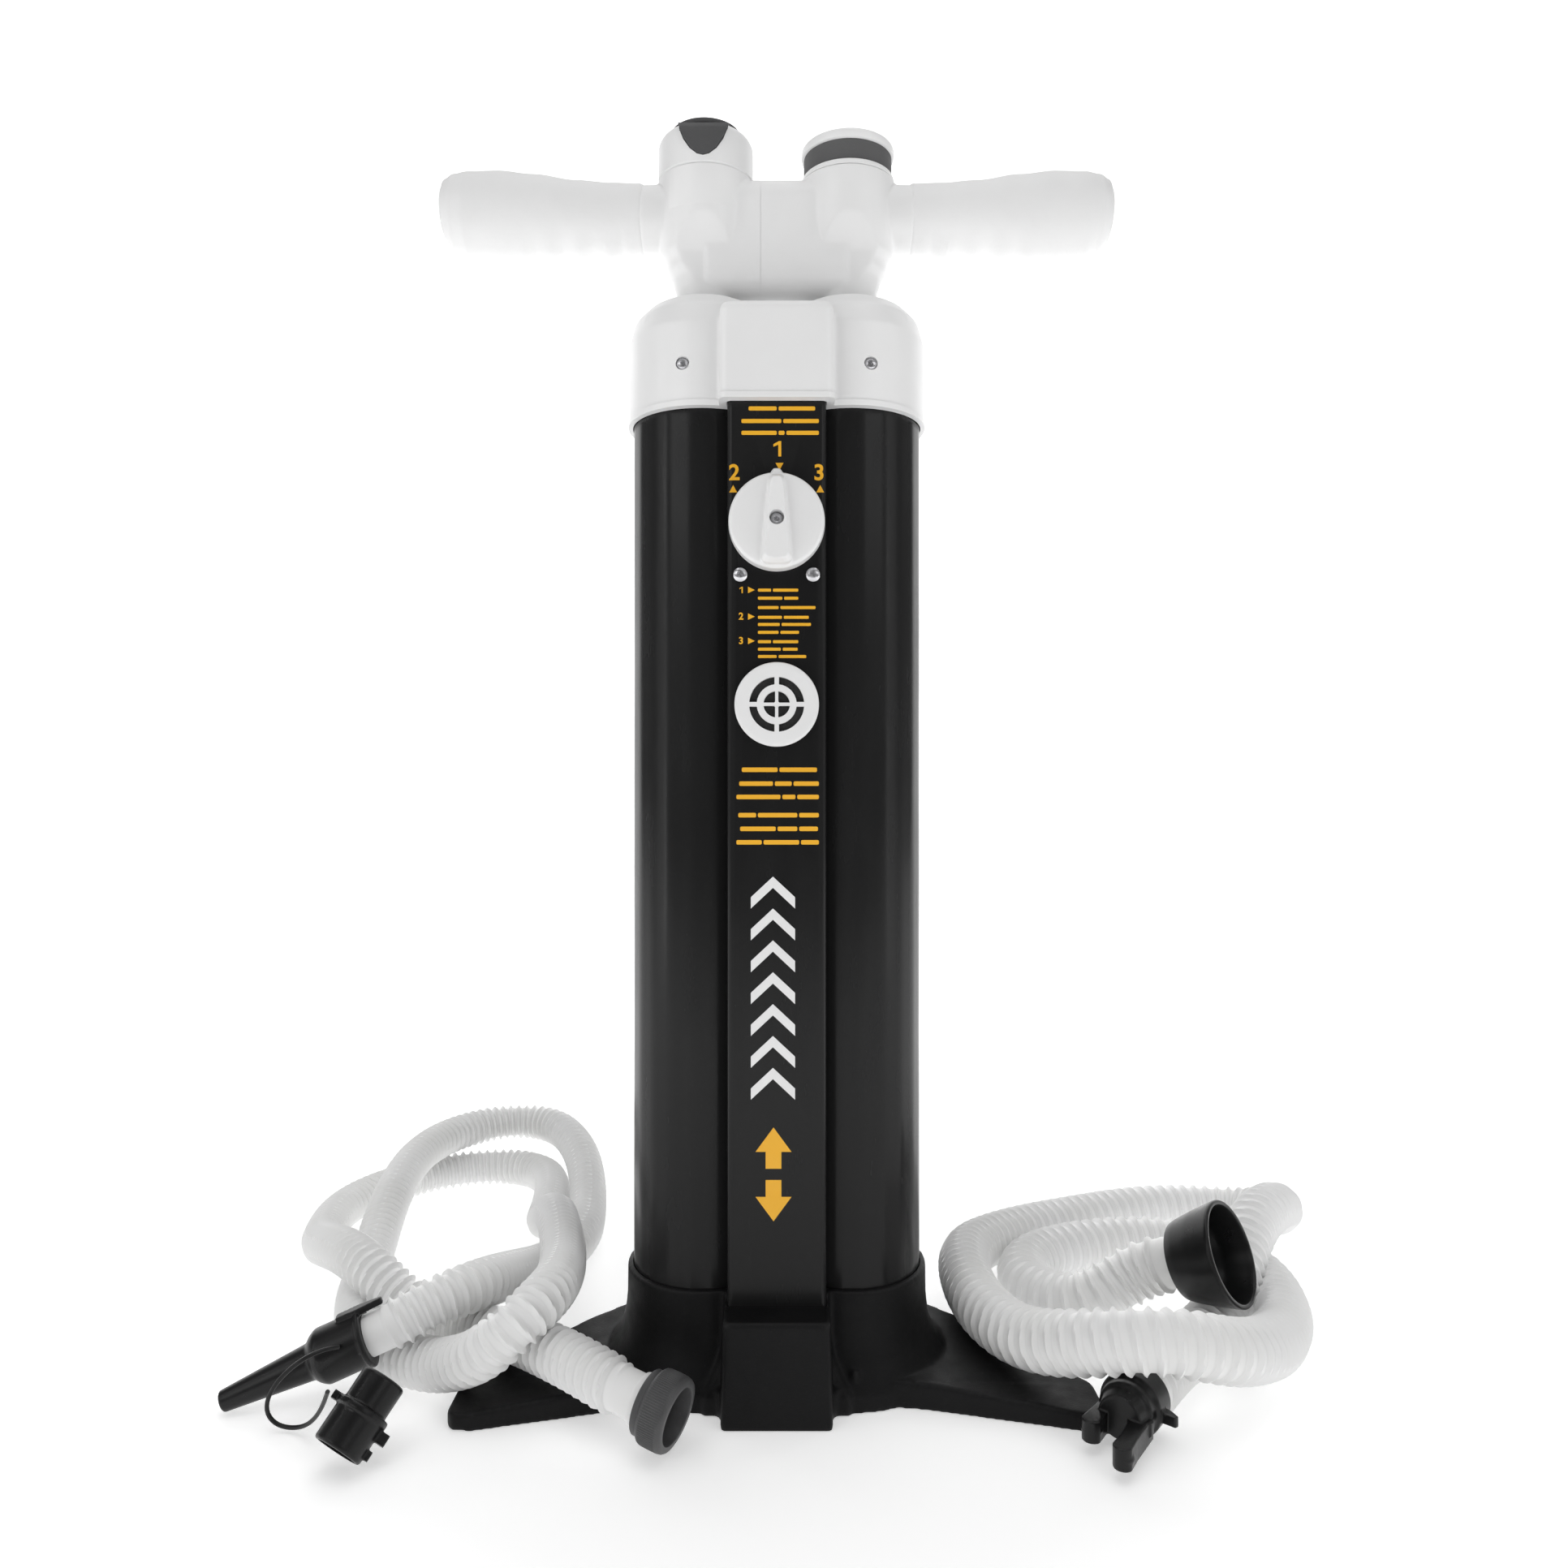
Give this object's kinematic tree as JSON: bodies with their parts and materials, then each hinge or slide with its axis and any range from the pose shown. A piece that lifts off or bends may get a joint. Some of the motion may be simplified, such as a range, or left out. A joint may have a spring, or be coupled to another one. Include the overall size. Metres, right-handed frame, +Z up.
{
  "type": "double action hand pump",
  "caption": "Double action hand pump: paired barrels under one wide handle with a pressure gauge, a selector dial, and loose corrugated hoses with fittings.",
  "frame": {"origin": "middle of the underside of the base, on the floor", "axes": "+Z up along the barrels, -Y towards the user's side with the dial, +X to the side of the gauge"},
  "size_m": [0.707, 0.4581, 0.7116],
  "materials": {
    "black_matt": "matt moulded plastic with a fine grain",
    "black_gloss": "smooth satin extrusion",
    "white_plastic": "satin moulded plastic",
    "grey_rubber": "soft and matt",
    "inner_grey": "plain moulded plastic",
    "steel": "bright turned steel",
    "foam": "open foam",
    "clear_lens": "clear and polished",
    "hose_white": "slightly milky corrugated plastic",
    "nut_grey": "matt moulded plastic"
  },
  "bodies": {
    "pump_body": {"base": "black_matt", "casing": "black_gloss", "valve_plate": "inner_grey", "cylinder_head": "inner_grey", "top_cap": "white_plastic", "selector_block": "inner_grey", "vent_grille": "white_plastic", "vent_filter": "foam", "cylinder_left": "inner_grey", "cylinder_right": "inner_grey", "rod_guide_left": "inner_grey", "rod_guide_right": "inner_grey", "rod_wiper_left": "grey_rubber", "rod_wiper_right": "grey_rubber", "cap_screw_front_left": "steel", "cap_screw_front_right": "steel", "cap_screw_rear_left": "steel", "cap_screw_rear_right": "steel", "panel_screw_left": "steel", "panel_screw_right": "steel"},
    "plunger": {"handle": "white_plastic", "port_collar": "white_plastic", "gauge_seat": "white_plastic", "gauge_cup": "grey_rubber", "gauge_face": "white_plastic", "gauge_bezel": "white_plastic", "gauge_lens": "clear_lens", "grip_left": "white_plastic", "grip_right": "white_plastic", "piston_rod_left": "steel", "piston_rod_right": "steel", "piston_left": "inner_grey", "piston_right": "inner_grey", "piston_seal_left": "grey_rubber", "piston_seal_right": "grey_rubber", "rod_nut_left": "steel", "rod_nut_right": "steel"},
    "selector": {"dial": "white_plastic", "selector_spindle": "inner_grey", "dial_screw": "steel"},
    "plug": {"port_plug": "grey_rubber"},
    "needle": {"gauge_needle": "grey_rubber"},
    "intake_valve_left": {"foot_valve_left": "grey_rubber"},
    "intake_valve_right": {"foot_valve_right": "grey_rubber"},
    "small_hose": {"small_hose_tube": "hose_white", "small_hose_cuff": "hose_white", "nozzle_adapter": "black_matt", "valve_adapter": "black_matt", "tether": "black_matt"},
    "small_nut": {"small_hose_nut": "nut_grey"},
    "large_hose": {"large_hose_tube": "hose_white", "large_hose_collar": "black_matt", "bayonet_adapter": "black_matt"}
  },
  "joints": [
    {"name": "handle_stroke", "type": "slide", "parent": "pump_body", "child": "plunger", "axis": [0, 0, 1], "range_m": [0, 0.455]},
    {"name": "selector_turn", "type": "hinge", "parent": "pump_body", "child": "selector", "pos_m": [0, -0.0563, 0.473], "axis": [0, -1, 0], "range_deg": [-54, 54]},
    {"name": "plug_lift", "type": "slide", "parent": "plunger", "child": "plug", "axis": [0, 0, 1], "range_m": [0, 0.05]},
    {"name": "needle_swing", "type": "hinge", "parent": "plunger", "child": "needle", "pos_m": [0.0412, 0, 0.6896], "axis": [0, 0, -1], "range_deg": [0, 270], "stiffness_Nm_per_rad": 0.0001},
    {"name": "intake_valve_left_lift", "type": "slide", "parent": "pump_body", "child": "intake_valve_left", "axis": [0, 0, 1], "range_m": [0, 0.002]},
    {"name": "intake_valve_right_lift", "type": "slide", "parent": "pump_body", "child": "intake_valve_right", "axis": [0, 0, 1], "range_m": [0, 0.002]},
    {"name": "small_hose_lift", "type": "slide", "parent": "pump_body", "child": "small_hose", "axis": [0, 0, 1], "range_m": [0, 0.1]},
    {"name": "small_nut_spin", "type": "hinge", "parent": "small_hose", "child": "small_nut", "pos_m": [-0.0695, -0.089, 0.0246], "axis": [0.891, -0.405, -0.205], "continuous": true},
    {"name": "large_hose_lift", "type": "slide", "parent": "pump_body", "child": "large_hose", "axis": [0, 0, 1], "range_m": [0, 0.1]}
  ]
}
